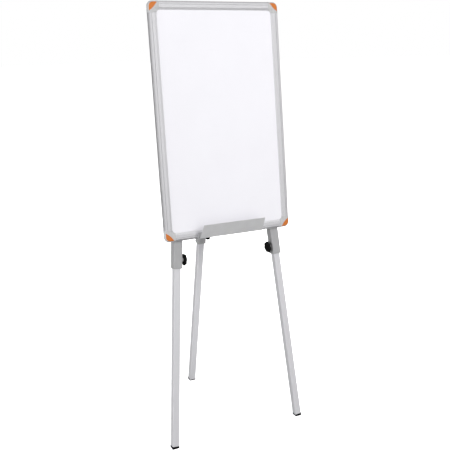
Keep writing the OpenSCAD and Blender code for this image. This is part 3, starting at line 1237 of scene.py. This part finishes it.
@dataclass
class InnerTubes(SubAssembly):
    """Inner tubes of the legs with their guide blocks and feet."""

    def dress(self) -> None:
        """Gives the inner tubes and their plastic ends their finishes."""
        for leg in Leg:
            axes = self.layout.leg(leg)
            ends = [f"guide_block_{leg.value}", f"foot_{leg.value}"]
            self.coat([f"inner_tube_{leg.value}"], INNER_TUBE_METAL.material(axes, leg.value))
            self.coat(ends, BLACK_PLASTIC.material(axes, f"ends_{leg.value}"))


@dataclass
class Clamp(SubAssembly):
    """Clamp of one leg: star knob, threaded stud, pressure pad and the weld round its boss.

    The stud starts at its own distance from the tube's axis, and ends inside the knob.
    """

    leg: Leg
    boss_r: float = 0.0085
    boss_len: float = 0.0095
    knob_gap: float = 0.0008
    stud_r: float = 0.004
    stud_from: float = 0.01705
    stud_in: float = 0.0065

    def dress(self) -> None:
        """Gives the pressure pad its finish."""
        pad = f"clamp_pad_{self.leg.value}"
        self.coat([pad], PAD_BRASS.material(self.layout.clamp(self.leg), self.leg.value))

    def build(self) -> None:
        """Builds the knob, the stud and the weld bead."""
        name = self.leg.value
        axes = self.layout.clamp(self.leg)
        face = self.layout.tube_w / 2
        knob_from = face + self.boss_len + self.knob_gap
        knob = StarKnob(self.stud_r, self.stud_in).build()
        knob.transform(axes @ Matrix.Translation((0, 0, knob_from)))
        piece(knob, f"star_knob_{name}", f"knob_{name}", BLACK_PLASTIC, axes, f"clamp_knob_{name}")
        stud = ThreadedStud(self.stud_r, self.stud_from, knob_from + self.stud_in).build()
        stud.transform(axes)
        piece(stud, f"threaded_stud_{name}", f"knob_{name}", ZINC_STEEL, axes, f"clamp_stud_{name}")
        bead = WeldBead(self.boss_r, face).build()
        bead.transform(axes)
        piece(bead, f"boss_weld_{name}", self.leg.holder, WELD, axes)


# Studio


# Direction in which the sky gets brighter
FRONT = (0.35, -0.93, 0.0)


@dataclass(frozen=True)
class Viewpoint:
    """Camera at the photograph's viewing angle."""

    eye: Spot = (-1.3281, -2.8614, 1.8080)
    azimuth: float = 25.931
    pitch: float = 14.517
    lens: float = 56.8
    shift: float = -0.0371

    def build(self) -> None:
        """Puts the camera where the photograph was taken from."""
        data = bpy.data.cameras.new("camera")
        data.lens = self.lens
        data.shift_y = self.shift
        camera = shown("camera", data)
        camera.location = self.eye
        camera.rotation_euler = (radians(RIGHT_ANGLE - self.pitch), 0, -radians(self.azimuth))
        bpy.context.scene.camera = camera


@dataclass(frozen=True)
class Lamp:
    """Rectangular lamp that lights the easel without mirroring in it.

    It faces the middle of the easel, at a share of its own height that is called its aim.
    """

    name: str
    power: float
    spot: Spot
    width: float = 2.4
    height: float = 2.4
    spread: float = 180.0
    aim: float = 0.5

    def build(self) -> None:
        """Hangs the lamp so that it faces the easel."""
        data = bpy.data.lights.new(self.name, "AREA")
        data.energy = self.power
        data.shape = "RECTANGLE"
        data.size = self.width
        data.size_y = self.height
        data.spread = radians(self.spread)
        lamp = shown(self.name, data)
        spot = Vector(self.spot)
        direction = Vector((0, 0, spot.z * self.aim)) - spot
        lamp.location = spot
        lamp.rotation_euler = direction.to_track_quat("-Z", "Y").to_euler()
        lamp.visible_glossy = False


LAMPS = (
    Lamp("key", 100.0, (0.8, -3.6, 3.2)),
    Lamp("fill", 126.0, (-4.3, -0.3, 0.9)),
    Lamp("low", 10.0, (0.2, -3.6, 0.4), width=1.0, height=1.0),
    Lamp("rear_leg", 0.1, (0.0, -3.2, 0.42), width=0.05, height=0.7, spread=8.0, aim=1.0),
    Lamp("back", 130.0, (2.4, 3.0, 2.4)),
)


@dataclass(frozen=True)
class Sky:
    """Soft light from all round, which is strongest in front, and a white background."""

    back: float = 0.07
    front: float = 0.7
    top: float = 0.05

    def build(self) -> None:
        """Makes the sky, which the camera sees as plain white."""
        world = bpy.data.worlds.new("studio")
        bpy.context.scene.world = world
        world.use_nodes = True
        nodes = Nodes(world.node_tree)
        direction = nodes.add("ShaderNodeTexCoord").outputs["Generated"]
        across = nodes.rise(direction, FRONT, (-1, 1), (self.back, self.front))
        above = nodes.rise(direction, UPWARDS, (0, 1), (0, self.top))
        light = nodes.add("ShaderNodeBackground")
        white = nodes.add("ShaderNodeBackground")
        for background in (light, white):
            background.inputs["Color"].default_value = opaque(WHITE)
        nodes.link(nodes.arithmetic("ADD", across, above), light.inputs["Strength"])
        path = nodes.add("ShaderNodeLightPath")
        mix = nodes.add("ShaderNodeMixShader")
        nodes.link(path.outputs["Is Camera Ray"], mix.inputs["Fac"])
        nodes.link(light.outputs["Background"], node_socket(mix.inputs, "Shader"))
        nodes.link(white.outputs["Background"], node_socket(mix.inputs, "Shader_001"))
        output = nodes.add("ShaderNodeOutputWorld")
        nodes.link(mix.outputs["Shader"], output.inputs["Surface"])


@dataclass(frozen=True)
class Floor:
    """Pale floor under the easel.

    It is white to the eye and duller for the light that it throws back. Where metal mirrors it, it goes
    from dark near the easel to pale further off.
    """

    half: float = 30.0
    down: float = 0.0003
    white: float = 0.95
    lit: float = 0.4
    glow: float = 0.75
    mirrored_from: float = 1.2
    mirrored_to: float = 3.2
    mirrored_near: float = 0.1
    mirrored_far: float = 0.75

    def build(self) -> None:
        """Lays the floor just below the feet."""
        bm = bmesh.new()
        bmesh.ops.create_grid(bm, x_segments=1, y_segments=1, size=self.half)
        bmesh.ops.translate(bm, verts=bm.verts, vec=(0, 0, -self.down))
        floor = mesh_object(bm, "floor", self.material())

    def material(self) -> Material:
        """Makes the floor's material.

        Returns:
            A material that glows a little to the camera, and whose shade depends on what sees it.
        """
        nodes = SurfaceNodes("floor")
        sockets = nodes.shader.inputs
        sockets["Specular IOR Level"].default_value = 0.0
        sockets["Emission Color"].default_value = opaque(WHITE)
        seen_by = nodes.add("ShaderNodeLightPath").outputs
        span = (self.mirrored_from, self.mirrored_to)
        mirrored = nodes.rise(nodes.place, FRONT, span, (self.mirrored_near, self.mirrored_far))
        lit = nodes.choose(seen_by["Is Diffuse Ray"], self.white, self.lit)
        shade = nodes.choose(seen_by["Is Glossy Ray"], lit, mirrored)
        glow = nodes.arithmetic("MULTIPLY", seen_by["Is Camera Ray"], self.glow)
        nodes.link(shade, sockets["Base Color"])
        nodes.link(glow, sockets["Emission Strength"])
        return nodes.material


def build_studio() -> None:
    """Sets up the camera, the lights and the floor."""
    for part in (Viewpoint(), Sky(), *LAMPS, Floor()):
        part.build()
    bpy.context.scene.view_settings.view_transform = "Standard"


def main() -> None:
    """Dresses and builds the easel's sub-assemblies in order, then the studio."""
    logging.basicConfig(level=logging.INFO, format="%(name)s: %(message)s")
    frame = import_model()
    layout = Layout()
    solids = frame["nodes"]
    parts: list[SubAssembly] = [
        BoardPanel(layout, solids),
        RailFrame(layout, solids),
        PenTray(layout, solids),
        OuterTubes(layout, solids),
        RearHinge(layout, solids),
        InnerTubes(layout, solids),
    ]
    parts += [Clamp(layout, solids, leg) for leg in Leg]
    for part in parts:
        part.dress()
        part.build()
    build_studio()


if __name__ == "__main__":
    main()
